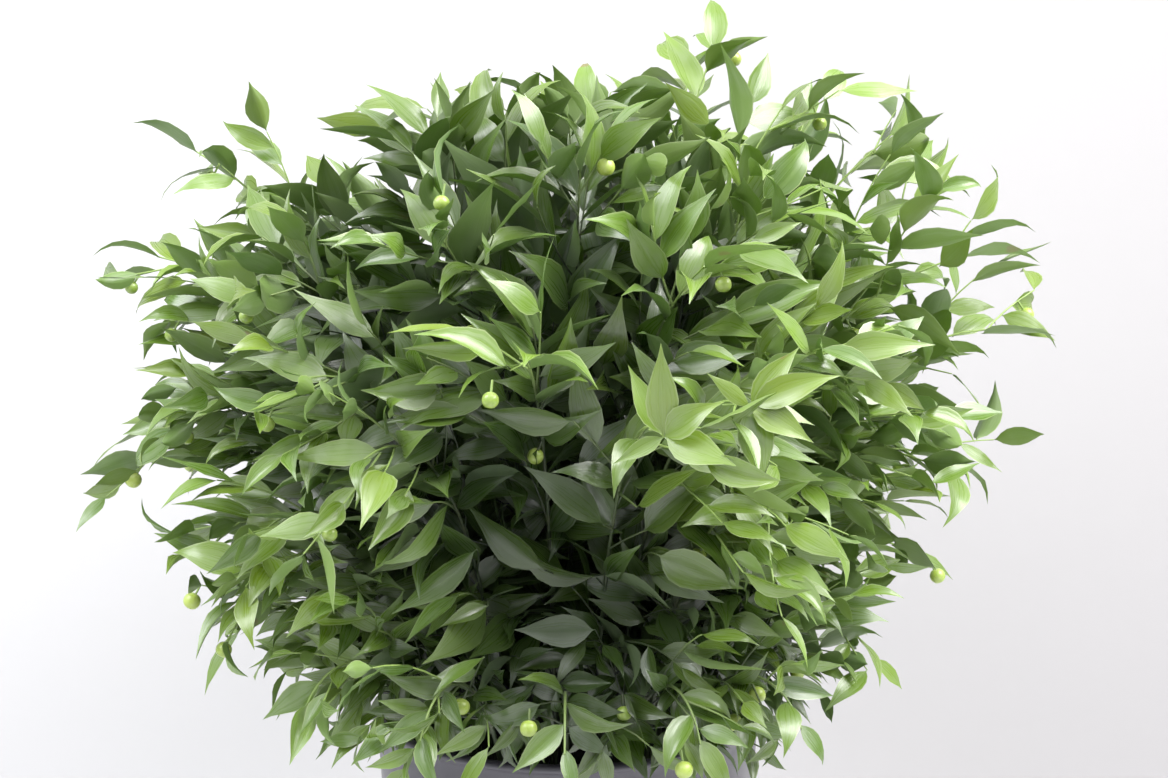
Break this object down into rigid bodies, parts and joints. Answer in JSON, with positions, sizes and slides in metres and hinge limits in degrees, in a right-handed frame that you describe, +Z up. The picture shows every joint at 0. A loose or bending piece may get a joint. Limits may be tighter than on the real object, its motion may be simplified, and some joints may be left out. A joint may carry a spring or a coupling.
{
  "type": "bunch of leafy ruscus stems in a round pot",
  "caption": "Dense rounded bunch of fresh green leafy ruscus stems with a few berries, standing in water in a plain round dark grey pot.",
  "frame": {"origin": "centre of the pot's flat foot", "axes": "+Z up along the pot's axis; -Y is the side that faces the viewer in the picture"},
  "size_m": [0.5409, 0.4638, 0.5723],
  "materials": {
    "foliage": "fresh green leaves, satin, with pale margins and fine lengthwise veins",
    "pot": "smooth dark purple-grey, satin",
    "water": "clear still water"
  },
  "bodies": {
    "root": {"leafy_stem_01": "foliage", "leafy_stem_02": "foliage", "leafy_stem_03": "foliage", "leafy_stem_04": "foliage", "leafy_stem_05": "foliage", "leafy_stem_06": "foliage", "leafy_stem_07": "foliage", "leafy_stem_08": "foliage", "leafy_stem_09": "foliage", "leafy_stem_10": "foliage", "leafy_stem_11": "foliage", "leafy_stem_12": "foliage", "leafy_stem_13": "foliage", "leafy_stem_14": "foliage", "leafy_stem_15": "foliage", "leafy_stem_16": "foliage", "leafy_stem_17": "foliage", "leafy_stem_18": "foliage", "leafy_stem_19": "foliage", "leafy_stem_20": "foliage", "leafy_stem_21": "foliage", "leafy_stem_22": "foliage", "leafy_stem_23": "foliage", "leafy_stem_24": "foliage", "leafy_stem_25": "foliage", "leafy_stem_26": "foliage", "leafy_stem_27": "foliage", "leafy_stem_28": "foliage", "leafy_stem_29": "foliage", "leafy_stem_30": "foliage", "leafy_stem_31": "foliage", "leafy_stem_32": "foliage", "leafy_stem_33": "foliage", "leafy_stem_34": "foliage", "leafy_stem_35": "foliage", "leafy_stem_36": "foliage", "leafy_stem_37": "foliage", "leafy_stem_38": "foliage", "leafy_stem_39": "foliage", "leafy_stem_40": "foliage", "leafy_stem_41": "foliage", "leafy_stem_42": "foliage", "leafy_stem_43": "foliage", "leafy_stem_44": "foliage", "leafy_stem_45": "foliage", "leafy_stem_46": "foliage", "leafy_stem_47": "foliage", "leafy_stem_48": "foliage", "leafy_stem_49": "foliage", "leafy_stem_50": "foliage", "leafy_stem_51": "foliage", "leafy_stem_52": "foliage", "leafy_stem_53": "foliage", "pot": "pot", "water": "water"}
  },
  "joints": []
}
